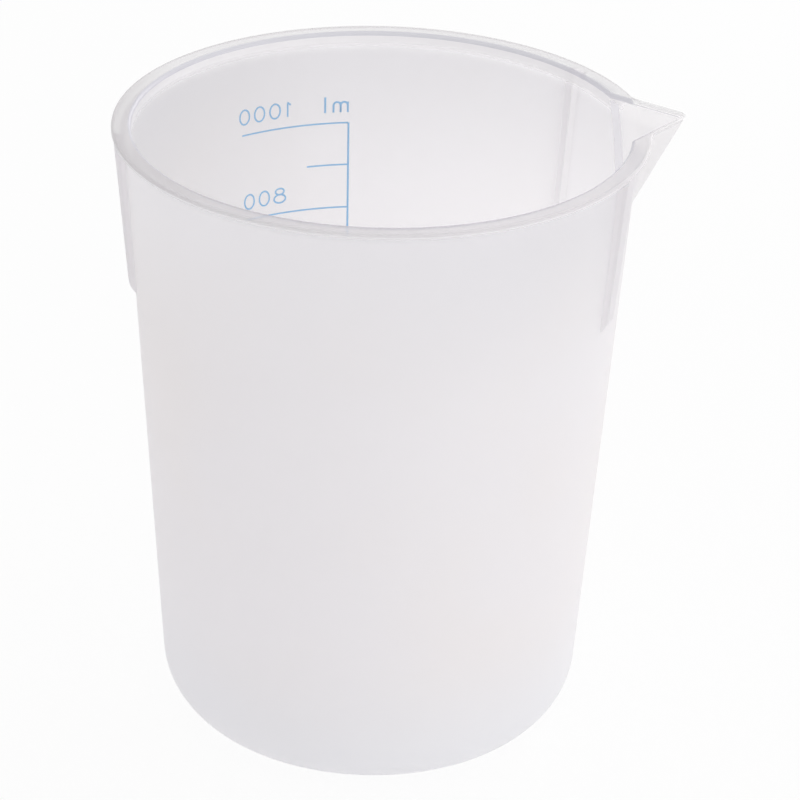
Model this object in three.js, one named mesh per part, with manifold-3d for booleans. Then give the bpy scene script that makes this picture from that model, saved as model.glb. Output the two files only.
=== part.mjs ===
// A one-litre laboratory beaker: one moulding in natural polypropylene with a pouring spout,
// a flat rim and three outside ribs, and a printed scale on its outer wall.
//
// Millimetres, +Z up. The origin is on the beaker's axis, on the surface that it stands on.
// The spout points along +X, and the scale is printed a quarter turn round from it, at +Y.
import * as THREE from 'three';
import { mergeVertices } from 'three/addons/utils/BufferGeometryUtils.js';
import Module from 'manifold-3d';

// Cup: one wall thickness all round, drawn in towards the foot, with a generous foot corner
const height = 149.4;
const rimRadius = 61;
const rimOverhang = 2.6;
const rimThickness = 1.5;
const rimEdgeRadius = 0.6;
const rimFilletRadius = 0.8;
const mouthEdgeRadius = 1;
const footRadius = 48.4;
const footCornerRadius = 16;
const wallThickness = 1.8;
const floorThickness = 2;

// Spout: two flat flanks that meet in a rounded keel and flare out before they reach the wall.
// Their angles are from the spout's middle. The tip stands out past the rim's edge, and the keel
// runs straight from it down to the wall
const spoutOverhang = 9;
const spoutFlankAngle = 43.5;
const spoutFlareAngle = 61;
const spoutFlareDepth = 3;
const spoutRootHeight = 124;
const spoutThickness = 1.2;
const spoutNoseRadius = 2.6;

// Ribs under the rim, one opposite the spout and one at each side of it
const ribAngles = [-32, 32, 180];
const ribWidth = 4.5;
const ribFootHeight = 110;
const ribFootLength = 4;
const ribFootProud = 1.5;
const ribRimInset = 0.3;

// Scale: lines of ink, each at the height that the beaker holds its volume at, in millilitres
const scaleAngle = 90;
const scaleVolumes = [100, 200, 300, 400, 500, 600, 700, 800, 900, 1000];
const longLineEvery = 200;
const longLineLength = 27.5;
const shortLineLength = 10.2;
const lineWidth = 0.5;
const inkThickness = 0.12;
const inkClearance = 0.06;
const inkJointGap = 0.12;

// Fineness of the faceted surfaces
const turnSteps = 96;
const cornerSteps = 8;
const edgeSteps = 3;
const noseSteps = 6;
const spoutSteps = 10;
const lineStepAngle = 3.75;

const cubicMillimetresPerMillilitre = 1000;
const cutMargin = 2;
const leastNoseRadius = 0.4;
const leastSpoutDepth = 0.25;
const leastFlankWidth = 0.1;

const wasm = await Module();
wasm.setup();
const { Manifold, Mesh: SolidMesh } = wasm;

const radians = THREE.MathUtils.degToRad;

// The wall is a cone frustum: its outer face runs from the foot radius to under the rim
const wallTopRadius = rimRadius - rimOverhang;
const wallSlope = (wallTopRadius - footRadius) / height;
const wallSecant = Math.hypot(1, wallSlope);
const wallLean = Math.atan(wallSlope);

const outerWallRadius = (z) => footRadius + wallSlope * z;
const innerWallRadius = (z) => outerWallRadius(z) - wallThickness * wallSecant;

// A rounded corner between the level floor at floorZ and the leaning wall, as a centre and a radius
function footCorner(wallRadiusAt, floorZ, radius) {
  const centreZ = floorZ + radius;
  return { r: wallRadiusAt(centreZ) - radius * wallSecant, z: centreZ, radius };
}

const outerCorner = footCorner(outerWallRadius, 0, footCornerRadius);
const innerCorner = footCorner(innerWallRadius, floorThickness, footCornerRadius - wallThickness);

function radiusWithCorner(wallRadiusAt, corner, z) {
  const wallStartZ = corner.z - corner.radius * Math.sin(wallLean);
  if (z >= wallStartZ) return wallRadiusAt(z);
  const below = corner.z - z;
  return corner.r + Math.sqrt(Math.max(corner.radius ** 2 - below ** 2, 0));
}

const outerRadius = (z) => radiusWithCorner(outerWallRadius, outerCorner, z);
const innerRadius = (z) => radiusWithCorner(innerWallRadius, innerCorner, z);

// Points of a corner arc, from straight down round to square with the leaning wall
function cornerArc(corner, steps) {
  const points = [];
  const sweep = Math.PI / 2 - wallLean;
  for (let i = 0; i <= steps; i++) {
    const turn = (sweep * i) / steps;
    const r = corner.r + corner.radius * Math.sin(turn);
    points.push(new THREE.Vector2(r, corner.z - corner.radius * Math.cos(turn)));
  }
  return points;
}

// Points of a quarter turn about a centre, from one direction to another in degrees
function arc(r, z, radius, fromDegrees, toDegrees, steps) {
  const points = [];
  for (let i = 0; i <= steps; i++) {
    const angle = radians(fromDegrees + ((toDegrees - fromDegrees) * i) / steps);
    points.push(new THREE.Vector2(r + radius * Math.cos(angle), z + radius * Math.sin(angle)));
  }
  return points;
}

// A solid from a closed geometry: shared vertices are merged and collapsed triangles dropped
function solidFrom(geometry) {
  const bare = geometry.clone();
  bare.deleteAttribute('normal');
  bare.deleteAttribute('uv');
  const merged = mergeVertices(bare, 1e-5);
  const index = merged.index.array;
  const triangles = [];
  for (let i = 0; i < index.length; i += 3) {
    const [a, b, c] = [index[i], index[i + 1], index[i + 2]];
    if (a !== b && b !== c && c !== a) triangles.push(a, b, c);
  }
  return new Manifold(
    new SolidMesh({
      numProp: 3,
      vertProperties: new Float32Array(merged.attributes.position.array),
      triVerts: new Uint32Array(triangles),
    }),
  );
}

function geometryFrom(solid) {
  const mesh = solid.getMesh();
  const geometry = new THREE.BufferGeometry();
  geometry.setAttribute('position', new THREE.BufferAttribute(mesh.vertProperties, 3));
  geometry.setIndex(new THREE.BufferAttribute(mesh.triVerts, 1));
  return geometry;
}

// A solid of revolution about Z from a profile of (radius, height) that climbs on its outside
function turned(profile) {
  const lathe = new THREE.LatheGeometry(profile, turnSteps);
  return solidFrom(lathe.rotateX(Math.PI / 2));
}

// A solid through level sections: closed outlines of equal length, each an array of Vector3,
// anticlockwise from above, from the lowest to the highest
function lofted(sections) {
  const count = sections[0].length;
  const positions = sections.flat().flatMap((p) => [p.x, p.y, p.z]);
  const index = [];
  for (let level = 0; level + 1 < sections.length; level++) {
    for (let i = 0; i < count; i++) {
      const next = (i + 1) % count;
      const [a, b] = [level * count + i, level * count + next];
      index.push(a, b, b + count, a, b + count, a + count);
    }
  }
  const outline = sections[0].map((p) => new THREE.Vector2(p.x, p.y));
  const top = (sections.length - 1) * count;
  for (const [a, b, c] of THREE.ShapeUtils.triangulateShape(outline, [])) {
    index.push(a, c, b);
  }
  const topOutline = sections.at(-1).map((p) => new THREE.Vector2(p.x, p.y));
  for (const [a, b, c] of THREE.ShapeUtils.triangulateShape(topOutline, [])) {
    index.push(top + a, top + b, top + c);
  }
  const geometry = new THREE.BufferGeometry();
  geometry.setAttribute('position', new THREE.Float32BufferAttribute(positions, 3));
  geometry.setIndex(index);
  return solidFrom(geometry);
}

// The beaker's outside without its spout: foot, wall, fillet under the rim, rim
function cupOutside() {
  const rimUnderside = height - rimThickness;
  const filletZ = rimUnderside - rimFilletRadius;
  const filletR = outerWallRadius(filletZ) + rimFilletRadius;
  const edgeR = rimRadius - rimEdgeRadius;
  return turned([
    new THREE.Vector2(0, 0),
    ...cornerArc(outerCorner, cornerSteps),
    ...arc(filletR, filletZ, rimFilletRadius, 180, 90, edgeSteps),
    ...arc(edgeR, rimUnderside + rimEdgeRadius, rimEdgeRadius, -90, 0, edgeSteps),
    ...arc(edgeR, height - rimEdgeRadius, rimEdgeRadius, 0, 90, edgeSteps),
    new THREE.Vector2(0, height),
  ]);
}

// The space inside the wall, with the rounded edge of the mouth, cut on past the top
function cupInside() {
  const edgeZ = height - mouthEdgeRadius;
  const edgeR = innerWallRadius(edgeZ) + mouthEdgeRadius;
  return turned([
    new THREE.Vector2(0, floorThickness),
    ...cornerArc(innerCorner, cornerSteps),
    ...arc(edgeR, edgeZ, mouthEdgeRadius, 180, 90, edgeSteps),
    new THREE.Vector2(edgeR, height + cutMargin),
    new THREE.Vector2(0, height + cutMargin),
  ]);
}

// Spout: it reaches out from the rim's edge, and its keel is straight
const spoutReach = rimRadius + spoutOverhang;
const flankAngle = radians(spoutFlankAngle);
const flareAngle = radians(spoutFlareAngle);
const keelSlope =
  (spoutReach - outerWallRadius(spoutRootHeight)) / (height - spoutRootHeight);
const keelRadius = (z) => spoutReach - keelSlope * (height - z);
const channelNoseRadius = Math.max(spoutNoseRadius - spoutThickness, leastNoseRadius);

// The angle at which a line that slopes away from an apex on the X axis crosses a circle about
// the Z axis. A line that passes outside the circle gives the point nearest to it
const crossing = (apexX, lineAngle, circleRadius) =>
  Math.asin(Math.min((apexX * Math.sin(lineAngle)) / circleRadius, 1)) - lineAngle;

const polar = (radius, angle, z) =>
  new THREE.Vector3(radius * Math.cos(angle), radius * Math.sin(angle), z);

// The rounded apex of a level section whose outermost point is at tipX
function noseArc(tipX, noseRadius, z) {
  const points = [];
  const half = Math.PI / 2 - flankAngle;
  for (let i = 0; i <= noseSteps; i++) {
    const angle = -half + (2 * half * i) / noseSteps;
    const x = tipX - noseRadius + noseRadius * Math.cos(angle);
    points.push(new THREE.Vector3(x, noseRadius * Math.sin(angle), z));
  }
  return points;
}

// The point where a flank turns into its flare: where it crosses a circle outside the wall, or
// beside the nose where the spout stands out less than that
function flareStart(apexX, noseRadius, circleRadius) {
  const angle = crossing(apexX, flankAngle, circleRadius);
  const besideNose = noseRadius * Math.cos(flankAngle) + leastFlankWidth;
  const y = Math.max(circleRadius * Math.sin(angle), besideNose);
  return new THREE.Vector2(apexX - y / Math.tan(flankAngle), y);
}

// The spout's form at an inset from its outside, up to a height. Beyond the wall's outer face
// it is a flared wedge with a rounded nose, and through the wall its sides run in to the axis
function spoutForm(inset, topNoseRadius, highest) {
  const depthAtTop = spoutReach - inset - wallTopRadius;
  const lowest = height - (depthAtTop - leastSpoutDepth) / (keelSlope - wallSlope);
  const sections = [];
  for (let i = 0; i <= spoutSteps; i++) {
    const z = lowest + ((highest - lowest) * i) / spoutSteps;
    const noseRadius = (topNoseRadius * (z - lowest)) / (height - lowest);
    const tipX = keelRadius(z) - inset;
    const apexX = tipX - noseRadius + noseRadius / Math.sin(flankAngle);
    const wall = outerWallRadius(z);
    const flare = flareStart(apexX, noseRadius, wall + spoutFlareDepth - inset);
    const angle = crossing(flare.x + flare.y / Math.tan(flareAngle), flareAngle, wall);
    const back = innerWallRadius(z) - cutMargin;
    sections.push([
      polar(back, -angle, z),
      polar(wall, -angle, z),
      new THREE.Vector3(flare.x, -flare.y, z),
      ...noseArc(tipX, noseRadius, z),
      new THREE.Vector3(flare.x, flare.y, z),
      polar(wall, angle, z),
      polar(back, angle, z),
    ]);
  }
  return lofted(sections);
}

const spoutOutside = () => spoutForm(0, spoutNoseRadius, height);
const spoutChannel = () => spoutForm(spoutThickness, channelNoseRadius, height + cutMargin);

// The ribs' faces lie in one turned form: it curves out of the wall at the ribs' feet, and then
// runs straight up and out to just inside the rim's edge
function ribEnvelope() {
  const footR = outerWallRadius(ribFootHeight);
  const proudZ = ribFootHeight + ribFootLength;
  const proudR = outerWallRadius(proudZ) + ribFootProud;
  const footCurve = (ribFootLength ** 2 + (proudR - footR) ** 2) / (2 * (proudR - footR));
  const footSweep = THREE.MathUtils.radToDeg(Math.asin(ribFootLength / footCurve));
  const rimMiddle = height - rimThickness / 2;
  return turned([
    new THREE.Vector2(0, ribFootHeight),
    ...arc(proudR - footCurve, proudZ, footCurve, -footSweep, 0, noseSteps),
    new THREE.Vector2(rimRadius - ribRimInset, rimMiddle),
    new THREE.Vector2(0, rimMiddle),
  ]);
}

// One rib: an upright bar from the axis outwards, which the envelope cuts to the rib's face
function ribBar(angle) {
  const bar = new THREE.BoxGeometry(rimRadius, ribWidth, height);
  bar.translate(rimRadius / 2, 0, height / 2);
  return solidFrom(bar.rotateZ(radians(angle)));
}

function beakerBody() {
  let body = cupOutside().add(spoutOutside());
  const envelope = ribEnvelope();
  for (const angle of ribAngles) {
    body = body.add(ribBar(angle).intersect(envelope));
  }
  return body.subtract(cupInside()).subtract(spoutChannel());
}

// The height at which the beaker holds a volume, by adding up thin level slices
function fillHeight(millilitres) {
  const slice = 0.05;
  let left = millilitres * cubicMillimetresPerMillilitre;
  let z = floorThickness;
  while (left > 0) {
    const sliceVolume = Math.PI * innerRadius(z + slice / 2) ** 2 * slice;
    if (sliceVolume >= left) return z + (slice * left) / sliceVolume;
    left -= sliceVolume;
    z += slice;
  }
  return z;
}

// A film of ink on the outer wall between two angles in degrees and two heights
function inkPatch(fromAngle, toAngle, lowZ, highZ) {
  const steps = Math.max(1, Math.round((toAngle - fromAngle) / lineStepAngle));
  const outlineAt = (z) => {
    const inside = [];
    const outside = [];
    const wall = outerRadius(z) + inkClearance;
    for (let i = 0; i <= steps; i++) {
      const angle = radians(fromAngle + ((toAngle - fromAngle) * i) / steps);
      inside.unshift(polar(wall, angle, z));
      outside.push(polar(wall + inkThickness, angle, z));
    }
    return [...outside, ...inside];
  };
  return lofted([outlineAt(lowZ), outlineAt(highZ)]);
}

// The angle that a length along the wall covers at a height, in degrees
const angleAlong = (length, z) => THREE.MathUtils.radToDeg(length / outerRadius(z));

const highestMark = Math.max(...scaleVolumes);
const lowestMark = Math.min(...scaleVolumes);

// The stem stands on the scale's start line, from the lowest mark to the highest
function scaleStem() {
  const lowZ = fillHeight(lowestMark) - lineWidth / 2;
  const highZ = fillHeight(highestMark) + lineWidth / 2;
  const half = angleAlong(lineWidth / 2, highZ);
  return inkPatch(scaleAngle - half, scaleAngle + half, lowZ, highZ);
}

// One graduation line, running away from the stem at its volume's height
function graduation(millilitres) {
  const z = fillHeight(millilitres);
  const length = millilitres % longLineEvery === 0 ? longLineLength : shortLineLength;
  const from = scaleAngle + angleAlong(lineWidth / 2 + inkJointGap, z);
  const to = scaleAngle + angleAlong(length, z);
  return inkPatch(from, to, z - lineWidth / 2, z + lineWidth / 2);
}

const polypropylene = new THREE.MeshStandardMaterial({
  color: 0xe9e7ea,
  roughness: 0.42,
  metalness: 0,
  transparent: true,
  opacity: 0.6,
});
const blueInk = new THREE.MeshStandardMaterial({
  color: 0x2aa0dc,
  roughness: 0.5,
  metalness: 0,
});

const beaker = new THREE.Group();

function place(name, solid, material) {
  const mesh = new THREE.Mesh(geometryFrom(solid), material.clone());
  mesh.name = name;
  beaker.add(mesh);
}

place('beaker_body', beakerBody(), polypropylene);
place('scale_stem', scaleStem(), blueInk);
for (const millilitres of scaleVolumes) {
  place(`graduation_${millilitres}`, graduation(millilitres), blueInk);
}

export default beaker;
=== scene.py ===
# %% [markdown]
# # A translucent laboratory beaker
# A one-litre beaker is a single moulding in natural polypropylene, with a volume scale printed on
# its outer wall in light blue ink. We build it in three steps: the moulding as one fine mesh, the
# print as thin beads of ink laid on the wall, and a pale studio that shows how milky the plastic is.

# %% Load the fixed frame
import math

import bmesh
import bpy
import numpy as np
from mathutils import Euler, Matrix, Vector


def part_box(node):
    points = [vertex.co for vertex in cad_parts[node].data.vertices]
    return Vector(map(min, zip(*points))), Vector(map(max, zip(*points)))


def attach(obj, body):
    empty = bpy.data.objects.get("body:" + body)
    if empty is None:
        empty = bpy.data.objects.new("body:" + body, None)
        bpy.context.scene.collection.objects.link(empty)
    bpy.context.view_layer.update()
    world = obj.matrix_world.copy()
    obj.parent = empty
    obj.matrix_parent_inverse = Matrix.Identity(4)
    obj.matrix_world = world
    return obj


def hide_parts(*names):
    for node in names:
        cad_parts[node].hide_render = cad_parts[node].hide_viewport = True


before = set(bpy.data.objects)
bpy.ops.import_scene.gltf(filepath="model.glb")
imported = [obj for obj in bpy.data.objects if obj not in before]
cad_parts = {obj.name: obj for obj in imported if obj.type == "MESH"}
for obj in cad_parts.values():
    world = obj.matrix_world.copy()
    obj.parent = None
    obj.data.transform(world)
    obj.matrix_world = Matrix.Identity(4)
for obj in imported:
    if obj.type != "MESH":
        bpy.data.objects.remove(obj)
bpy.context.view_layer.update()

# %% [markdown]
# ## Sizes
# The height, the rim's radius and the spout's tip come from the frame. The rest are the moulding's
# own sizes in millimetres, the same ones that its construction uses. Working in millimetres keeps
# the numbers readable, and each mesh is scaled to metres when it is finished.

# %% Sizes in millimetres
MM = 0.001
_, body_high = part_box("beaker_body")
HEIGHT = body_high.z / MM
RIM_RADIUS = body_high.y / MM
SPOUT_TIP = body_high.x / MM

RIM_OVERHANG, RIM_THICKNESS = 2.6, 1.5
RIM_EDGE, RIM_FILLET, MOUTH_EDGE = 0.6, 0.8, 1.0
FOOT_RADIUS, FOOT_CORNER = 48.4, 16.0
WALL, FLOOR = 1.8, 2.0
SPOUT_ROOT, SPOUT_WALL, SPOUT_NOSE = 124.0, 1.2, 2.6
FLANK, FLARE, FLARE_DEPTH = math.radians(43.5), math.radians(61), 3.0
RIB_ANGLES, RIB_WIDTH = (-32.0, 32.0, 180.0), 4.5
RIB_FOOT, RIB_FOOT_LENGTH, RIB_FOOT_PROUD, RIB_RIM_INSET = 110.0, 4.0, 1.5, 0.3

WALL_TOP = RIM_RADIUS - RIM_OVERHANG
WALL_SLOPE = (WALL_TOP - FOOT_RADIUS) / HEIGHT
WALL_LEAN = math.atan(WALL_SLOPE)
RIM_UNDERSIDE = HEIGHT - RIM_THICKNESS


def outer_wall(z):
    return FOOT_RADIUS + WALL_SLOPE * z


def inner_wall(z):
    return outer_wall(z) - WALL / math.cos(WALL_LEAN)


print("wall radius at foot and rim", FOOT_RADIUS, round(WALL_TOP, 2))

# %% [markdown]
# ## The section
# A turned part starts as half of its section. Here it is a chain of nine straight edges from the
# middle of the underside, up the outside, over the rim and down the inside. A vertex bevel then
# rounds each corner with its own radius, as a draughtsman adds fillets last. The two points at the
# belt have no radius: above them the wall is cut into fine steps, ready for the spout and the ribs.

# %% Draw the section and round its corners
BELT = 103.0
# Radius and height of each corner, then its rounding's radius and number of steps.
SECTION = [
    (0, 0, 0, 0),
    (FOOT_RADIUS, 0, FOOT_CORNER, 14),
    (outer_wall(BELT), BELT, 0, 0),
    (outer_wall(RIM_UNDERSIDE), RIM_UNDERSIDE, RIM_FILLET, 4),
    (RIM_RADIUS, RIM_UNDERSIDE, RIM_EDGE, 3),
    (RIM_RADIUS, HEIGHT, RIM_EDGE, 3),
    (inner_wall(HEIGHT), HEIGHT, MOUTH_EDGE, 6),
    (inner_wall(BELT), BELT, 0, 0),
    (inner_wall(FLOOR), FLOOR, FOOT_CORNER - WALL, 12),
    (0, FLOOR, 0, 0),
]


def corner_setback(before, corner, after, radius):
    """How far from its corner a fillet of this radius starts."""
    turn = (corner - before).angle(after - corner)
    return radius * math.tan(turn / 2)


def section_mesh():
    bm = bmesh.new()
    points = [bm.verts.new((r, 0, z)) for r, z, _, _ in SECTION]
    for pair in zip(points, points[1:]):
        bm.edges.new(pair)
    places = [p.co.copy() for p in points]
    for i, (_, _, radius, segments) in enumerate(SECTION):
        if radius:
            setback = corner_setback(places[i - 1], places[i], places[i + 1], radius)
            bmesh.ops.bevel(
                bm,
                geom=[points[i]],
                offset=setback,
                offset_type="OFFSET",
                affect="VERTICES",
                segments=segments,
                profile=0.5,
                material=-1,
                clamp_overlap=False,
            )
    return bm


def cut_long_edges(bm, low, high, step):
    """Cuts the section's long edges between two heights into steps of about this length."""
    for edge in [e for e in bm.edges if e.calc_length() > 2 * step]:
        middle = (edge.verts[0].co.z + edge.verts[1].co.z) / 2
        if low < middle < high:
            cuts = round(edge.calc_length() / step) - 1
            bmesh.ops.subdivide_edges(bm, edges=[edge], cuts=cuts)


UPPER_STEP, LOWER_STEP, FLOOR_STEP = 0.7, 5.0, 9.0
ABOVE_FLOOR = FLOOR + 1
BELOW_GROUND = -1

moulding = section_mesh()
cut_long_edges(moulding, BELT, HEIGHT - RIM_EDGE, UPPER_STEP)
cut_long_edges(moulding, ABOVE_FLOOR, BELT, LOWER_STEP)
cut_long_edges(moulding, BELOW_GROUND, ABOVE_FLOOR, FLOOR_STEP)
print("section points", len(moulding.verts))

# %% [markdown]
# ## Turning it
# A spin makes the section into a solid of revolution. The spout, its cut through the wall and the
# ribs' sides need finer steps than the plain wall does, so the full turn is made of several spins,
# each going on from where the last one ended. Merging the doubles closes the seam and the two poles
# on the axis.

# %% Spin the section, with finer steps at the spout and the ribs
SAME_PLACE = 0.0005
# Where each stretch ends and how fine its steps are, in degrees from the spout's middle.
HALF_TURNS = [
    (13.2, 0.4),
    (16.4, 0.2),
    (27.2, 0.6),
    (29.6, 1.2),
    (30.4, 0.1),
    (33.6, 0.4),
    (34.4, 0.1),
    (177.6, 1.8),
    (178.4, 0.1),
    (180.0, 0.4),
]
STEPS = []
reached = 0
for end, step in HALF_TURNS:
    STEPS.append((end - reached, round((end - reached) / step)))
    reached = end

front = list(moulding.verts) + list(moulding.edges)
for angle, steps in STEPS + STEPS[::-1]:
    spun = bmesh.ops.spin(
        moulding,
        geom=front,
        cent=(0, 0, 0),
        axis=(0, 0, 1),
        dvec=(0, 0, 0),
        angle=math.radians(angle),
        steps=steps,
        use_merge=False,
        use_duplicate=False,
    )
    front = spun["geom_last"]
bmesh.ops.remove_doubles(moulding, verts=moulding.verts, dist=SAME_PLACE)
print("turned faces", len(moulding.faces))

# %% [markdown]
# ## Spout and ribs
# On the real beaker the wall swells out into the spout and the ribs without a seam. A spout made by
# itself and joined on would leave one. So the vertices of the turned wall are moved outwards: each
# keeps its direction from the axis and takes a new radius. Outside, that radius is the largest of
# the wall, the spout's flanks and the ribs. A flank runs back from a rounded nose, and close to the
# wall it turns into a flatter flare.

# %% Describe the spout
KEEL_SLOPE = (SPOUT_TIP - outer_wall(SPOUT_ROOT)) / (HEIGHT - SPOUT_ROOT)
SECTOR = math.radians(27)
LEAST_SHARE, LEAST_FLANK = 0.01, 0.1


def crossing(apex, line_angle, radius):
    """The direction in which a line that slopes back from an apex crosses a circle."""
    return math.asin(min(apex * math.sin(line_angle) / radius, 1)) - line_angle


def along_line(apex, line_angle, turn):
    """Radius of a line that slopes back from an apex, in a direction from the axis."""
    return apex / (math.cos(turn) + math.sin(turn) / math.tan(line_angle))


def spout_level(z, inset):
    """Nose radius and the two apexes, of the flank and of the flare, of a level section."""
    share = max((z - SPOUT_ROOT) / (HEIGHT - SPOUT_ROOT), LEAST_SHARE)
    nose = (SPOUT_NOSE - inset) * share
    tip = SPOUT_TIP - inset - KEEL_SLOPE * (HEIGHT - z)
    apex = tip - nose + nose / math.sin(FLANK)
    circle = outer_wall(z) + FLARE_DEPTH - inset
    nose_side = nose * math.cos(FLANK) + LEAST_FLANK
    turning_y = max(circle * math.sin(crossing(apex, FLANK, circle)), nose_side)
    flare_apex = apex - turning_y / math.tan(FLANK) + turning_y / math.tan(FLARE)
    return nose, tip, apex, flare_apex


def spout_radius(turn, z, inset, flared=True):
    """Radius of the spout's outside at an angle from its middle, or of a form inset from it."""
    nose, tip, apex, flare_apex = spout_level(z, inset)
    turn, centre = abs(turn), tip - nose
    nose_end = math.atan2(nose * math.cos(FLANK), centre + nose * math.sin(FLANK))
    if turn < nose_end:
        return centre * math.cos(turn) + math.sqrt(nose**2 - (centre * math.sin(turn)) ** 2)
    flank = along_line(apex, FLANK, turn)
    return max(flank, along_line(flare_apex, FLARE, turn)) if flared else flank


def cut_angle(z):
    """Half the width of the channel's cut through the wall, as an angle."""
    _, _, _, flare_apex = spout_level(z, SPOUT_WALL)
    return crossing(flare_apex, FLARE, outer_wall(z))


def larger(a, b, blend):
    """The larger of two radii, with a rounded hand-over where they are nearly alike."""
    near = max(blend - abs(a - b), 0) / blend
    return max(a, b) + near * near * blend / 4


def ramp(low, high, value):
    """Climbs smoothly from 0 to 1 as a value goes from low to high."""
    t = min(max((value - low) / (high - low), 0), 1)
    return t * t * (3 - 2 * t)


cuts = [round(math.degrees(cut_angle(z)), 1) for z in (HEIGHT, 143, 134)]
print("spout tip", round(spout_radius(0, HEIGHT, 0), 2), "cut half width", cuts)

# %% Describe the ribs
RIB_HALF = math.degrees(RIB_WIDTH / 2 / (WALL_TOP + 1))
RIB_SIDE = 0.35
PROUD_Z = RIB_FOOT + RIB_FOOT_LENGTH
PROUD_R = outer_wall(PROUD_Z) + RIB_FOOT_PROUD
RIB_RISE = PROUD_R - outer_wall(RIB_FOOT)
RIB_CURVE = (RIB_FOOT_LENGTH**2 + RIB_RISE**2) / (2 * RIB_RISE)
RIB_TOP = HEIGHT - RIM_THICKNESS / 2
RIB_SLOPE = (RIM_RADIUS - RIB_RIM_INSET - PROUD_R) / (RIB_TOP - PROUD_Z)


def rib_face(z):
    """Radius of the ribs' faces: they curve out of the wall and then run straight up and out."""
    if z < PROUD_Z:
        return PROUD_R - RIB_CURVE + math.sqrt(RIB_CURVE**2 - (PROUD_Z - z) ** 2)
    return PROUD_R + RIB_SLOPE * (z - PROUD_Z)


def rib(turn, z):
    """Radius of the nearest rib, or of the wall where there is none."""
    wall = outer_wall(z)
    away = min(abs((math.degrees(turn) - angle + 180) % 360 - 180) for angle in RIB_ANGLES)
    if away > RIB_HALF or not RIB_FOOT < z < RIB_TOP:
        return wall
    side = ramp(0, RIB_SIDE, RIB_HALF - away)
    return wall + (rib_face(z) - wall) * side


print("ribs stand proud", [round(rib_face(z) - outer_wall(z), 2) for z in (111, 114, 130, 147)])

# %% [markdown]
# Inside, the channel goes straight through the wall, so the radius steps at the cut. The mesh's
# columns are drawn together along the cut before the step is made, which keeps its edge crisp. At
# the rim's level there is no step: the flank runs on through the rim in one plane.

# %% Move the vertices out to the spout and the ribs
BLEND = 0.4
SIDE_LIMIT = 0.78
SPOUT_EDGE_THINNING = 0.6
ONTO_SPOUT = (RIM_RADIUS - 0.5, RIM_RADIUS + 1)
FILLET_FADES = (WALL_TOP + 0.3, RIM_RADIUS - 0.5)
STEP_FADES = (RIM_UNDERSIDE - 0.5, RIM_UNDERSIDE + 0.1)
FINE_FROM, FINE_TO = (math.radians(end) for end, _ in HALF_TURNS[:2])
CUT_EDGE = math.radians(0.45)
NARROWEST_CUT = 2.5 * CUT_EDGE


def outer_point(turn, r, z):
    """New radius and height of a point on the outside, the rim's underside and edge included."""

    def spout(level):
        return spout_radius(turn, level, 0) if abs(turn) < SECTOR else 0

    if z > HEIGHT - RIM_EDGE:
        share = 1 - SPOUT_EDGE_THINNING * ramp(*ONTO_SPOUT, spout(z))
        z = HEIGHT - (HEIGHT - z) * share
        return larger(RIM_RADIUS, spout(z), BLEND) - (RIM_RADIUS - r) * share, z
    fillet_z = RIM_UNDERSIDE - RIM_FILLET
    if z > fillet_z:
        way = (r - outer_wall(fillet_z)) + (z - fillet_z)
        whole = RIM_OVERHANG + RIM_FILLET + RIM_EDGE
        spread = fillet_z + (RIM_FILLET + RIM_EDGE) * min(way / whole, 1)
        z += (spread - z) * ramp(*FILLET_FADES, max(rib(turn, z), spout(z)))
    return larger(max(r, rib(turn, z)), spout(z), BLEND), z


def inner_point(turn, r, z):
    """New direction and radius of a point on the inside or on the mouth's rounded edge."""
    cut = cut_angle(z)
    middle = max(cut, NARROWEST_CUT)
    marks = (0, middle - CUT_EDGE, middle + CUT_EDGE, SECTOR)
    drawn_in = np.interp(abs(turn), (0, FINE_FROM, FINE_TO, SECTOR), marks)
    turn = math.copysign(abs(turn) + (drawn_in - abs(turn)) * ramp(BELT, SPOUT_ROOT, z), turn)
    opened = 1 - ramp(cut - CUT_EDGE, cut + CUT_EDGE, abs(turn))
    wall = inner_wall(z)
    stepped = wall + (spout_radius(turn, z, SPOUT_WALL) - wall) * opened
    plain = max(wall, spout_radius(turn, z, SPOUT_WALL, False))
    at_rim = ramp(*STEP_FADES, z)
    return turn, stepped + (plain - stepped) * at_rim + r - wall


for vert in moulding.verts:
    r, z = math.hypot(vert.co.x, vert.co.y), vert.co.z
    if z < BELT:
        continue
    turn = math.atan2(vert.co.y, vert.co.x)
    if r - inner_wall(z) > SIDE_LIMIT * WALL:
        r, z = outer_point(turn, r, z)
    elif abs(turn) < SECTOR:
        turn, r = inner_point(turn, r, z)
    vert.co = (r * math.cos(turn), r * math.sin(turn), z)
print("radius reached", round(max(v.co.x for v in moulding.verts), 2))

# %% [markdown]
# ## One mesh, several skins
# Milky plastic scatters light near its surface, yet ink on its far side reads clearly through one
# wall. A volume would show that too, but it renders slowly. So the moulding's outer skin is milky
# and its inner skin is nearly clear, with the wall's real thickness between them. The ribs are
# thicker, so their faces look greyer, and the mouth's rounded edge and the channel's cut get grey
# lines of painted shade. Each face takes its finish from its place and from which way it faces.

# %% Sort the faces by finish
MILKY, CLEAR, EDGE, RIB = 0, 1, 2, 3
FLOOR_REACH = FOOT_RADIUS * 0.8
LOOKS_UP, FLAT_TOP, ASLANT = 0.2, 0.97, 0.55
LIP_FROM = 60.3
MOUTH_FROM, STRIP_TO = HEIGHT - MOUTH_EDGE, HEIGHT - MOUTH_EDGE * 0.75


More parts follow.
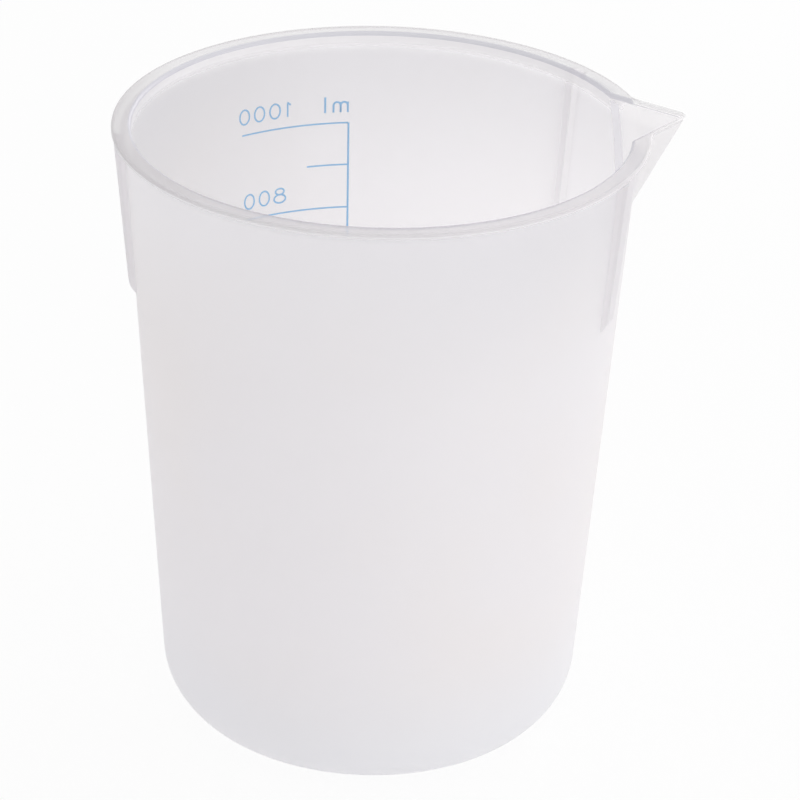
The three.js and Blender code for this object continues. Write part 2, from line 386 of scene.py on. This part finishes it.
def finish_of(face):
    centre = face.calc_center_median()
    level = Vector((centre.x, centre.y, 0))
    radius, turn, normal = level.length, math.atan2(centre.y, centre.x), face.normal
    if radius < FLOOR_REACH and centre.z < FOOT_CORNER:
        return CLEAR if normal.z > LOOKS_UP else MILKY
    if normal.z > FLAT_TOP:
        return MILKY
    if normal.dot(level) > 0:
        on_rib = rib(turn, centre.z) > outer_wall(centre.z) and centre.z < RIM_UNDERSIDE
        return RIB if on_rib else MILKY
    if centre.z > MOUTH_FROM:
        return EDGE if radius < LIP_FROM or centre.z < STRIP_TO else CLEAR
    aslant = abs(normal.dot(level.normalized())) < ASLANT
    return EDGE if centre.z > SPOUT_ROOT and aslant and abs(turn) < SECTOR else CLEAR


bmesh.ops.recalc_face_normals(moulding, faces=moulding.faces)
moulding.normal_update()
for face in moulding.faces:
    face.smooth = True
    face.material_index = finish_of(face)


def finished_piece(name, bm, scale=MM):
    """Makes an object of a mesh made in millimetres, with its place in its mesh."""
    bmesh.ops.scale(bm, vec=(scale,) * 3, verts=bm.verts)
    mesh = bpy.data.meshes.new(name)
    bm.to_mesh(mesh)
    bm.free()
    piece = bpy.data.objects.new(name, mesh)
    bpy.context.scene.collection.objects.link(piece)
    return piece


beaker = finished_piece("beaker_moulding", moulding)
print("moulding triangles", sum(len(p.vertices) - 2 for p in beaker.data.polygons))

# %% [markdown]
# ## A small language for finishes
# Shader maths is easier to read as sums than as a web of nodes. The first class wraps a socket, so
# that an expression on sockets adds its own Math nodes. The second holds a material, or the world,
# and one method of it makes any other node.

# %% Write shader maths as Python expressions
class Socket:
    """A number in a material's nodes that takes part in Python sums."""

    def __init__(self, finish, socket):
        self.finish, self.socket = finish, socket

    def _sum(self, operation, first, second):
        node = self.finish.node("ShaderNodeMath", {"operation": operation}, {0: first, 1: second})
        return Socket(self.finish, node.outputs[0])

    def __add__(self, other):
        return self._sum("ADD", self, other)

    __radd__ = __add__

    def __sub__(self, other):
        return self._sum("SUBTRACT", self, other)

    def __rsub__(self, other):
        return self._sum("SUBTRACT", other, self)

    def __mul__(self, other):
        return self._sum("MULTIPLY", self, other)

    __rmul__ = __mul__

    def __truediv__(self, other):
        return self._sum("DIVIDE", self, other)

    def __rtruediv__(self, other):
        return self._sum("DIVIDE", other, self)


class Finish:
    """A material, or the world, that is written as a few lines of nodes."""

    def __init__(self, name, owner=None):
        self.material = owner or bpy.data.materials.new(name)
        self.material.use_nodes = True
        self.tree = self.material.node_tree
        self.tree.nodes.clear()

    def node(self, kind, settings=None, inputs=None):
        node = self.tree.nodes.new(kind)
        for key, value in (settings or {}).items():
            setattr(node, key, value)
        for key, value in (inputs or {}).items():
            if isinstance(value, Socket):
                self.tree.links.new(value.socket, node.inputs[key])
            elif isinstance(value, bpy.types.NodeSocket):
                self.tree.links.new(value, node.inputs[key])
            else:
                node.inputs[key].default_value = value
        return node

    def number(self, node, output=0):
        return Socket(self, node.outputs[output])

    def show(self, shader, output="ShaderNodeOutputMaterial"):
        self.node(output, inputs={"Surface": shader})
        return self.material


# %% Masks, mixes and places for the finishes
def smooth_between(finish, value, low, high):
    """0 below low and 1 above high, as a socket, with a soft edge."""
    node = finish.node(
        "ShaderNodeMapRange",
        {"interpolation_type": "SMOOTHSTEP"},
        {"Value": value, "From Min": low, "From Max": high},
    )
    return finish.number(node)


def mix_colour(finish, amount, first, second):
    node = finish.node(
        "ShaderNodeMix", {"data_type": "RGBA"}, {0: amount, 6: first, 7: second}
    )
    return node.outputs[2]


def mix_shader(finish, amount, first, second):
    return finish.node(
        "ShaderNodeMixShader", inputs={0: amount, 1: first.outputs[0], 2: second.outputs[0]}
    )


def object_place(finish):
    return finish.node("ShaderNodeTexCoord").outputs["Object"]


def height_in_mm(finish):
    parts = finish.node("ShaderNodeSeparateXYZ", inputs={0: object_place(finish)})
    return finish.number(parts, "Z") / MM


def axis_distance_in_mm(finish):
    flat = finish.node(
        "ShaderNodeVectorMath", {"operation": "MULTIPLY"}, {0: object_place(finish), 1: (1, 1, 0)}
    )
    reach = finish.node("ShaderNodeVectorMath", {"operation": "LENGTH"}, {0: flat.outputs[0]})
    return finish.number(reach, "Value") / MM


def proud_of_wall(finish):
    """How far a point stands out from the plain wall, in mm."""
    wall = height_in_mm(finish) * WALL_SLOPE + FOOT_RADIUS
    return axis_distance_in_mm(finish) - wall


# %% [markdown]
# ## Natural polypropylene
# Undyed polypropylene is a cloudy grey-white with faint clouds of warmer and cooler tint from the
# moulding. The colour is made a little greyer towards the rim and slightly bluer in the foot. One
# even colour would look painted, so a slow noise tints it. A satin skin is mixed with a Translucent
# shader, and part of the light that meets it goes on through.

# %% The plastic's cloudy colour
COOL, WARM = (0.955, 0.942, 0.963, 1), (0.955, 0.926, 0.920, 1)
FOOT_TINT = (0.91, 0.932, 0.968, 1)
CLOUD_SCALE, CLOUD_DETAIL = 14.0, 2.0
CLOUD_EDGES = (0.35, 0.65)
GREYS_TOWARDS_RIM = (95.0, HEIGHT + 8)
FOOT_TINT_FADES = (0.0, 45.0)


def cloudy_colour(finish, upper):
    """Slow faint clouds of tint, with a different colour in the foot and towards the rim."""
    clouds = finish.node(
        "ShaderNodeTexNoise",
        inputs={
            "Vector": object_place(finish),
            "Scale": CLOUD_SCALE,
            "Detail": CLOUD_DETAIL,
        },
    )
    tint = smooth_between(finish, clouds.outputs["Fac"], *CLOUD_EDGES)
    body = mix_colour(finish, tint, COOL, WARM)
    low = 1 - smooth_between(finish, height_in_mm(finish), *FOOT_TINT_FADES)
    high = smooth_between(finish, height_in_mm(finish), *GREYS_TOWARDS_RIM)
    return mix_colour(finish, high, mix_colour(finish, low, body, FOOT_TINT), upper)


print("clouds about", round(1000 / CLOUD_SCALE), "mm across")

# %% The satin skin, and what lets light through
PLASTIC_IOR = 1.49
GRAIN_SCALE, GRAIN_DETAIL, GRAIN_STRENGTH, GRAIN_DEPTH = 900.0, 3.0, 0.25, 0.00004
SATIN_ROUGHNESS, SHEEN_ROUGHNESS = 0.42, 0.35
SHINING = (0.957, 0.937, 0.945, 1)
AIR = (1, 1, 1, 1)


def moulded_grain(finish):
    """The faint unevenness of a satin mould surface, as a normal."""
    grain = finish.node(
        "ShaderNodeTexNoise",
        inputs={
            "Vector": object_place(finish),
            "Scale": GRAIN_SCALE,
            "Detail": GRAIN_DETAIL,
        },
    )
    bump = finish.node(
        "ShaderNodeBump",
        inputs={
            "Strength": GRAIN_STRENGTH,
            "Distance": GRAIN_DEPTH,
            "Height": grain.outputs["Fac"],
        },
    )
    return bump.outputs["Normal"]


def satin_skin(finish, colour, roughness=SATIN_ROUGHNESS, sheen=0.0):
    return finish.node(
        "ShaderNodeBsdfPrincipled",
        inputs={
            "Base Color": colour,
            "Roughness": roughness,
            "IOR": PLASTIC_IOR,
            "Normal": moulded_grain(finish),
            "Sheen Weight": sheen,
            "Sheen Roughness": SHEEN_ROUGHNESS,
        },
    )


def shine_through(finish):
    return finish.node("ShaderNodeBsdfTranslucent", inputs={"Color": SHINING})


def open_air(finish):
    return finish.node("ShaderNodeBsdfTransparent", inputs={"Color": AIR})


print("grain", GRAIN_DEPTH / MM, "mm deep")

# %% [markdown]
# ## Rim and outer wall
# The rim's flange is thin and has little behind it, so it is clearer than the wall: white ground
# behind it shows as white, and the shaded inside as grey. Its upper edge is thick to look along,
# so a grey line of painted shade is drawn round it. On the side away from the lamps the rim is made
# cloudier, which paints shade there. Where the spout and the flange stand out from the wall, the
# colour is painted paler, as painted light.

# %% Milky outer skin
UPPER, PAINTED_LIGHT_PALE, TOP_EDGE_SHADE_GREY = (0.89, 0.885, 0.92, 1), (0.985, 0.975, 0.985, 1), (0.73, 0.70, 0.72, 1)
SHINE_THROUGH = 0.5
RIM_CLEAR, RIM_LINE_CLEAR = 0.68, 0.45
RIM_SHEEN = 0.5
PALE_WHERE_PROUD = (0.1, 1.6)
PAST_RIM = (RIM_RADIUS + 0.1, RIM_RADIUS + 0.6)
SPOUT_CLEAR_DEPTH, CLEAR_FADE = 0.4, 0.5
TOP_EDGE = (HEIGHT - 0.9, HEIGHT - 0.5)
RIM_LINE = (RIM_RADIUS - 0.5, RIM_RADIUS - 0.3)
SPOUT_TOP_PALENESS = 0.7
ON_THE_LEFT = (0.7, 1.0)
RIM_SHADE_ON_LEFT = 0.45


def left_side(finish):
    """1 on the beaker's left, away from the lamps, and 0 on the rest."""
    parts = finish.node("ShaderNodeSeparateXYZ", inputs={0: object_place(finish)})
    rightwards = finish.number(parts, "X") / MM / axis_distance_in_mm(finish)
    return smooth_between(finish, 0 - rightwards, *ON_THE_LEFT)


milky = Finish("natural_polypropylene")
z_mm, reach_mm = height_in_mm(milky), axis_distance_in_mm(milky)
# Painted light: the colour is made paler where the spout and the flange stand out.
proud = smooth_between(milky, proud_of_wall(milky), *PALE_WHERE_PROUD)
milky_colour = mix_colour(milky, proud, cloudy_colour(milky, UPPER), PAINTED_LIGHT_PALE)
past_rim = smooth_between(milky, reach_mm, *PAST_RIM)
clear_from = past_rim * (RIM_THICKNESS - SPOUT_CLEAR_DEPTH) + RIM_UNDERSIDE
in_rim = smooth_between(milky, z_mm - clear_from, -CLEAR_FADE, 0.0)
at_top = smooth_between(milky, z_mm, *TOP_EDGE)
rim_line = smooth_between(milky, reach_mm, *RIM_LINE) * (1 - past_rim)
rim_clearness = at_top * rim_line * (RIM_LINE_CLEAR - RIM_CLEAR) + RIM_CLEAR
# Painted shade: the rim is made cloudier on the side away from the lamps.
rim_clearness = rim_clearness * (1 - left_side(milky) * RIM_SHADE_ON_LEFT)
# Painted shade: a grey line along the rim's upper edge, weaker on the spout.
top_edge_shade = at_top * (1 - past_rim * SPOUT_TOP_PALENESS)
skin_colour = mix_colour(milky, top_edge_shade, milky_colour, TOP_EDGE_SHADE_GREY)
satin = satin_skin(milky, skin_colour, sheen=RIM_SHEEN)
wall_skin = mix_shader(milky, SHINE_THROUGH, satin, shine_through(milky))
rim_skin = mix_shader(milky, rim_clearness, satin, open_air(milky))
milky.show(mix_shader(milky, in_rim, wall_skin, rim_skin).outputs[0])
print("milky skin, nodes", len(milky.tree.nodes))

# %% [markdown]
# ## Ribs
# A rib is the wall's thickness and its own together, so less light comes through and its face is
# greyer than the wall. Its sides, where it is less deep, stay lighter.

# %% Thicker ribs
RIB_SIDE_GREY, RIB_GREY = (0.89, 0.875, 0.90, 1), (0.83, 0.815, 0.84, 1)
RIB_FACE = (0.9, 1.4)

thicker = Finish("natural_polypropylene_ribs")
on_face = smooth_between(thicker, proud_of_wall(thicker), *RIB_FACE)
rib_satin = satin_skin(thicker, mix_colour(thicker, on_face, RIB_SIDE_GREY, RIB_GREY))
thicker.show(mix_shader(thicker, SHINE_THROUGH, rib_satin, shine_through(thicker)).outputs[0])
print("rib skin, nodes", len(thicker.tree.nodes))

# %% [markdown]
# ## Inside
# Seen from above, the inner surface adds only a haze to what is behind it, a little more towards
# the rim. A clear shader with some satin mixed in gives that. Just under the flat ring the haze is
# strong and pale, a painted highlight for the light that the rim gathers; on the side away from the
# lamps it is less pale, as painted shade. Inside the spout the haze is painted paler, as painted
# light.

# %% Nearly clear inner skin
UPPER_INSIDE = (0.60, 0.595, 0.625, 1)
INNER_HAZE, UPPER_HAZE, BELOW_LIP_HAZE = 0.15, 0.09, 0.65
INNER_ROUGHNESS = 0.35
UPPER_FROM = 100.0
BELOW_LIP, PALE_BELOW_LIP = (HEIGHT - 3.6, HEIGHT - 2.2), (HEIGHT - 5.2, HEIGHT - 3.4)
PAST_WALL, IN_SPOUT = (57.6, 59.0), (-1.0, 0.0)
LEFT_SHADE, SPOUT_PAINTED_LIGHT = 0.4, 0.4

clear = Finish("natural_polypropylene_inside")
inside_z, inside_reach = height_in_mm(clear), axis_distance_in_mm(clear)
below_lip = smooth_between(clear, inside_z, *BELOW_LIP)
# Painted highlight: a pale band just under the flat ring, with painted shade on the left.
painted_highlight_below_lip = smooth_between(clear, inside_z, *PALE_BELOW_LIP) * (1 - left_side(clear) * LEFT_SHADE)
haze_colour = mix_colour(clear, painted_highlight_below_lip, cloudy_colour(clear, UPPER_INSIDE), PAINTED_LIGHT_PALE)
# Painted light: the haze is made paler inside the spout.
in_spout = smooth_between(clear, proud_of_wall(clear), *IN_SPOUT)
haze_colour = mix_colour(clear, in_spout * SPOUT_PAINTED_LIGHT, haze_colour, PAINTED_LIGHT_PALE)
haze = satin_skin(clear, haze_colour, INNER_ROUGHNESS)
under_ring = below_lip * (1 - smooth_between(clear, inside_reach, *PAST_WALL))
haziness = smooth_between(clear, inside_z, UPPER_FROM, HEIGHT) * UPPER_HAZE + INNER_HAZE
haziness = haziness + under_ring * (BELOW_LIP_HAZE - UPPER_HAZE - INNER_HAZE)
clear.show(mix_shader(clear, haziness, open_air(clear), haze).outputs[0])
print("inner skin, nodes", len(clear.tree.nodes))

# %% [markdown]
# ## Painted edge shade
# The mouth's rounding is painted as a fine grey line of shade, and the cut of the channel as a
# fainter upright band of it.

# %% Painted shade on the edges
EDGE_SHADE_GREY = (0.65, 0.64, 0.71, 1)
CUT_HAZE, LIP_HAZE, SPOUT_LIP_HAZE = 0.33, 0.7, 0.35
EDGE_ROUGHNESS = 0.3
AT_LIP = (HEIGHT - 1.2, HEIGHT - 0.9)
ALONG_SPOUT = (LIP_FROM - 0.3, LIP_FROM + 0.5)

edge_shade = Finish("natural_polypropylene_edges")
# Painted shade: a grey satin laid over the clear edges.
edge_shade_skin = satin_skin(edge_shade, EDGE_SHADE_GREY, EDGE_ROUGHNESS)
at_lip = smooth_between(edge_shade, height_in_mm(edge_shade), *AT_LIP)
on_spout = smooth_between(edge_shade, axis_distance_in_mm(edge_shade), *ALONG_SPOUT)
lip_shade_amount = on_spout * (SPOUT_LIP_HAZE - LIP_HAZE) + LIP_HAZE
edge_shade_amount = at_lip * (lip_shade_amount - CUT_HAZE) + CUT_HAZE
edge_shade.show(mix_shader(edge_shade, edge_shade_amount, open_air(edge_shade), edge_shade_skin).outputs[0])
print("edge skin, nodes", len(edge_shade.tree.nodes))

# %% Put the finishes on the moulding
for finish in (milky, clear, edge_shade, thicker):
    beaker.data.materials.append(finish.material)
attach(beaker, "root")
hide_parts("beaker_body")
print("finishes on the moulding", [m.name for m in beaker.data.materials])

# %% [markdown]
# ## The printed scale
# A screen print could be painted into the plastic's colour, but then it would have no edge of its
# own and couldn't be taken off. So each line, numeral and letter is drawn as strokes of a round pen
# on the wall laid flat: a curve with a bevel, made a mesh, pressed flat and then wrapped on the
# wall. The ink bites a little into the skin, so it shows crisply from outside and, through the
# clear inner skin, from inside as well.

# %% A pen that draws on the wall
LINE_PEN, STEM_PEN, NUMERAL_PEN, UNIT_PEN = 0.205, 0.24, 0.215, 0.25
PEN_ROUNDING = 2
INK_FLATNESS = 0.3
INK_DEPTH = 0.02
SCALE_AZIMUTH = math.radians(90)
POINT_EVERY = 0.6
SAME_POINT = 1e-6


def straight(*corners):
    """A stroke through corners, with points close enough to bend round the wall."""
    points = [Vector(corners[0])]
    for corner in corners[1:]:
        end = Vector(corner)
        start = points[-1]
        steps = max(1, math.ceil((end - start).length / POINT_EVERY))
        points += [start.lerp(end, i / steps) for i in range(1, steps + 1)]
    return points


def bow(cx, cy, rx, ry, begin=0, end=360, steps=20):
    """A stroke along part of an ellipse, between two directions in degrees."""
    angles = [math.radians(begin + (end - begin) * i / steps) for i in range(steps + 1)]
    return [Vector((cx + rx * math.cos(a), cy + ry * math.sin(a))) for a in angles]


def drawn(name, strokes, pen):
    """Draws strokes given as points of (along the wall, height) in mm, and wraps them on it."""
    curve = bpy.data.curves.new(name, "CURVE")
    curve.dimensions = "3D"
    curve.bevel_depth = pen
    curve.bevel_resolution = PEN_ROUNDING
    curve.use_fill_caps = True
    for stroke in strokes:
        spline = curve.splines.new("POLY")
        closed = (stroke[0] - stroke[-1]).length < SAME_POINT
        points = stroke[:-1] if closed else stroke
        spline.points.add(len(points) - 1)
        spline.use_cyclic_u = closed
        for point, place in zip(spline.points, points):
            point.co = (place.x, place.y, 0, 1)
    pattern = bpy.data.objects.new(name + "_pattern", curve)
    bpy.context.scene.collection.objects.link(pattern)
    shape = pattern.evaluated_get(bpy.context.evaluated_depsgraph_get())
    bm = bmesh.new()
    bm.from_mesh(shape.to_mesh())
    bpy.data.objects.remove(pattern)
    for vert in bm.verts:
        along, z, out = vert.co
        wall = outer_wall(z)
        angle = SCALE_AZIMUTH + along / wall
        r = wall + out * INK_FLATNESS - INK_DEPTH
        vert.co = (r * math.cos(angle), r * math.sin(angle), z)
    bmesh.ops.recalc_face_normals(bm, faces=bm.faces)
    for face in bm.faces:
        face.smooth = True
    return finished_piece(name, bm)


# %% [markdown]
# ## The lines of the scale
# Each line takes its height from the frame's own line, which it replaces. Every 200 ml has a long
# line, and each odd hundred a short one. A heavier upright joins their ends.

# %% Draw the lines of the scale
VOLUMES = range(100, 1001, 100)
NUMBERED_EVERY = 200
LONG_LINE, SHORT_LINE, LINE_START = 27.5, 10.2, 0.1


def line_height(millilitres):
    low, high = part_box(f"graduation_{millilitres}")
    return (low.z + high.z) / 2 / MM


def line_length(millilitres):
    return SHORT_LINE if millilitres % NUMBERED_EVERY else LONG_LINE


heights = {volume: line_height(volume) for volume in VOLUMES}
ink_pieces = []
for volume, z in heights.items():
    stroke = straight((LINE_START, z), (line_length(volume), z))
    line = drawn(f"line_{volume}", [stroke], LINE_PEN)
    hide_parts(f"graduation_{volume}")
    ink_pieces.append(line)
upright = straight((0, heights[VOLUMES[0]]), (0, heights[VOLUMES[-1]]))
stem = drawn("scale_upright", [upright], STEM_PEN)
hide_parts("scale_stem")
ink_pieces.append(stem)
print("line heights", {v: round(z, 1) for v, z in heights.items()})

# %% [markdown]
# ## Numerals and unit
# A font would bring its own weight and corners. Scales like this one carry plain technical
# lettering: one even stroke, round noughts and open curves. A few strokes for each digit give it.

# %% The digits that the scale needs
DIGIT_WIDTH, DIGIT_HEIGHT = 2.7, 3.65
FLAG = 0.75


def nought(x):
    half = DIGIT_HEIGHT / 2
    return [bow(x, half, DIGIT_WIDTH / 2, half)]


def one(x):
    top = DIGIT_HEIGHT
    return [straight((x - FLAG, top - FLAG), (x, top), (x, 0))]


def two(x):
    r = DIGIT_WIDTH / 2
    rise = r * 0.8
    head = bow(x, DIGIT_HEIGHT - rise, r, rise, begin=165, end=-28, steps=12)
    return [head + straight((x - r, 0), (x + r, 0))]


def four(x):
    r, top = DIGIT_WIDTH / 2, DIGIT_HEIGHT
    bar, upright = top * 0.28, x + r * 0.35
    return [straight((x + r, bar), (x - r, bar), (upright, top), (upright, 0))]


def six(x):
    r = DIGIT_WIDTH / 2
    bowl = DIGIT_HEIGHT * 0.31
    sweep = r * 1.75
    back = bow(x + r * 0.75, bowl, sweep, DIGIT_HEIGHT - bowl, begin=180, end=95, steps=10)
    return [bow(x, bowl, r, bowl), back]


def eight(x):
    lower = DIGIT_HEIGHT * 0.29
    upper = DIGIT_HEIGHT / 2 - lower
    foot = bow(x, lower, DIGIT_WIDTH * 0.56, lower)
    head = bow(x, DIGIT_HEIGHT - upper, DIGIT_WIDTH * 0.42, upper)
    return [foot, head]


GLYPHS = {"0": nought, "1": one, "2": two, "4": four, "6": six, "8": eight}
print("digits", "".join(GLYPHS))

# %% Letter the numerals and the unit
TEXT_RISE = 2.7
NUMERAL_PITCH, AFTER_ONE = 4.15, -0.85
FIRST_OF_THREE, FIRST_OF_FOUR = 17.2, 15.2


def numeral(text, first_x, base_z):
    """The strokes of a number whose first digit is centred at first_x."""
    strokes = []
    for i, digit in enumerate(text):
        lead = 0 if i == 0 or text[0] != "1" else AFTER_ONE
        for stroke in GLYPHS[digit](first_x + NUMERAL_PITCH * i + lead):
            strokes.append([point + Vector((0, base_z)) for point in stroke])
    return strokes


def unit_strokes(foot):
    """The letters ml, in narrow strokes beside the head of the stem."""
    x_height, ascender = 2.6, 3.95
    legs, l_place = [0.2, 1.95, 3.7], 5.75
    shoulders = []
    for left, right in zip(legs, legs[1:]):
        middle, half = (left + right) / 2, (right - left) / 2
        arch = bow(middle, foot + x_height - half, half, half, 180, 0, 8)
        shoulders.append(straight((left, foot), (left, foot + x_height)))
        shoulders.append(arch + straight((right, foot)))
    return shoulders + [straight((l_place, foot), (l_place, foot + ascender))]


for volume in [v for v in VOLUMES if v % NUMBERED_EVERY == 0]:
    label = str(volume)
    first_x = FIRST_OF_FOUR if len(label) == 4 else FIRST_OF_THREE
    strokes = numeral(label, first_x, heights[volume] + TEXT_RISE)
    ink_pieces.append(drawn(f"numeral_{volume}", strokes, NUMERAL_PEN))
ink_pieces.append(drawn("unit_ml", unit_strokes(heights[VOLUMES[-1]] + TEXT_RISE), UNIT_PEN))
print("ink pieces", len(ink_pieces))

# %% [markdown]
# ## Screen ink
# Screen ink isn't laid quite evenly: it is thinner here and there, so the blue pales in small
# patches, and it dries to a soft shine. One noise gives both the patches and the shine.

# %% Blue ink
INK_BLUE, INK_PALE = (0.26, 0.58, 0.92, 1), (0.37, 0.67, 0.95, 1)
PATCH_SCALE, PATCH_DETAIL, PATCH_PALENESS = 260.0, 2.0, 0.5
PATCH_EDGES, SHINE_EDGES = (0.5, 0.8), (0.2, 0.9)
INK_ROUGHNESS, ROUGHER_BY = 0.35, 0.3

ink = Finish("light_blue_ink")
lay = ink.node(
    "ShaderNodeTexNoise",
    inputs={"Vector": object_place(ink), "Scale": PATCH_SCALE, "Detail": PATCH_DETAIL},
)
thin = smooth_between(ink, lay.outputs["Fac"], *PATCH_EDGES)
ink_colour = mix_colour(ink, thin * PATCH_PALENESS, INK_BLUE, INK_PALE)
dull = smooth_between(ink, lay.outputs["Fac"], *SHINE_EDGES)
dried = ink.node(
    "ShaderNodeBsdfPrincipled",
    inputs={"Base Color": ink_colour, "Roughness": dull * ROUGHER_BY + INK_ROUGHNESS},
)
ink.show(dried.outputs[0])
for piece in ink_pieces:
    piece.data.materials.append(ink.material)
    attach(piece, "root")
print("inked pieces", [piece.name for piece in ink_pieces])

# %% [markdown]
# ## The studio
# The floor is plain and pale. The camera sees it as nearly white, while it still takes the beaker's
# shadow: part of what it shows is its own lit surface, and the rest is plain white.

# %% Floor
FLOOR_SIZE = 3.0
FLOOR_DROP = 0.0002
PAPER_GREY, PLAIN_WHITE = (0.89, 0.89, 0.89, 1), (1, 1, 1, 1)
ALWAYS_WHITE, WHITER_TO_THE_EYE = 0.37, 0.55

plane = bmesh.new()
bmesh.ops.create_grid(plane, x_segments=1, y_segments=1, size=FLOOR_SIZE)
bmesh.ops.translate(plane, verts=plane.verts, vec=(0, 0, -FLOOR_DROP))
floor = finished_piece("studio_floor", plane, 1)


def seen_directly(finish):
    """1 for rays that show the background to the eye: straight, mirrored or through glass."""
    path = finish.node("ShaderNodeLightPath")
    straight_ray = finish.number(path, "Is Camera Ray")
    mirrored = finish.number(path, "Is Glossy Ray")
    through_glass = finish.number(path, "Is Transmission Ray")
    return straight_ray + mirrored + through_glass


paper = Finish("pale_floor")
lit = paper.node("ShaderNodeBsdfDiffuse", inputs={"Color": PAPER_GREY})
white = paper.node("ShaderNodeEmission", inputs={"Color": PLAIN_WHITE, "Strength": 1.0})
whiteness = seen_directly(paper) * WHITER_TO_THE_EYE + ALWAYS_WHITE
paper.show(mix_shader(paper, whiteness, lit, white).outputs[0])
floor.data.materials.append(paper.material)
print("floor", FLOOR_SIZE * 2, "m wide")

# %% [markdown]
# ## Room and lamps
# The room is a pale grey that lights the beaker evenly and is dimmer on the left. Two large soft
# lamps stand low on the right, one in front and one behind. The one behind shines through the far
# wall, which is what makes milky plastic glow.

# %% Room
ROOM_PALE, ROOM_DIM = (0.84, 0.84, 0.84, 1), (0.52, 0.52, 0.52, 1)
DIMMER_LEFTWARDS = (0.35, 0.95)

room = Finish("studio", bpy.data.worlds.new("studio"))
bpy.context.scene.world = room.material
ray = room.node("ShaderNodeTexCoord").outputs["Generated"]
rightwards = room.number(room.node("ShaderNodeSeparateXYZ", inputs={0: ray}), "X")
dimmer = smooth_between(room, 0 - rightwards, *DIMMER_LEFTWARDS)
room_colour = mix_colour(room, dimmer, ROOM_PALE, ROOM_DIM)
backdrop = room.node("ShaderNodeBackground", inputs={"Color": room_colour})
room.show(backdrop.outputs[0], "ShaderNodeOutputWorld")
print("room level", ROOM_PALE[0], "and on the left", ROOM_DIM[0])

# %% Lamps
AIM = Vector((0, 0, HEIGHT * MM / 2))
KEY_PLACE, KEY_SIZE, KEY_WATTS = Vector((0.95, -0.45, 0.24)), 0.7, 2.1
BACK_PLACE, BACK_SIZE, BACK_WATTS = Vector((0.78, 0.75, 0.15)), 0.8, 4.9


def soft_lamp(name, place, size, watts):
    light = bpy.data.lights.new(name, "AREA")
    light.size = size
    light.energy = watts
    lamp = bpy.data.objects.new(name, light)
    lamp.location = place
    lamp.rotation_euler = (AIM - lamp.location).to_track_quat("-Z", "Y").to_euler()
    bpy.context.scene.collection.objects.link(lamp)


soft_lamp("key", KEY_PLACE, KEY_SIZE, KEY_WATTS)
soft_lamp("back", BACK_PLACE, BACK_SIZE, BACK_WATTS)
print("lamps", round((KEY_PLACE - AIM).length, 2), round((BACK_PLACE - AIM).length, 2), "m away")

# %% [markdown]
# ## The camera
# It looks down into the mouth through a long lens, from the side opposite the scale and with the
# spout on the right, so the print is read through the far wall, from its back. It is rolled by a
# little over a degree and a half.

# %% Camera
CAMERA_PLACE = Vector((-0.1127, -0.7850, 0.48015))
CAMERA_YAW, CAMERA_DOWN, CAMERA_ROLL = 0.1500, 0.4677, 0.0286
SENSOR_WIDTH, FOCAL_LENGTH = 36, 170.86

lens = bpy.data.cameras.new("camera")
lens.sensor_width = SENSOR_WIDTH
lens.lens = FOCAL_LENGTH
camera = bpy.data.objects.new("camera", lens)
aim = (
    Euler((0, 0, -CAMERA_YAW)).to_matrix()
    @ Euler((math.pi / 2 - CAMERA_DOWN, 0, 0)).to_matrix()
    @ Euler((0, 0, CAMERA_ROLL)).to_matrix()
)
camera.matrix_world = Matrix.Translation(CAMERA_PLACE) @ aim.to_4x4()
bpy.context.scene.collection.objects.link(camera)
bpy.context.scene.camera = camera
bpy.context.scene.view_settings.view_transform = "Standard"
print("camera", round((CAMERA_PLACE - AIM).length, 3), "m from the beaker's middle")
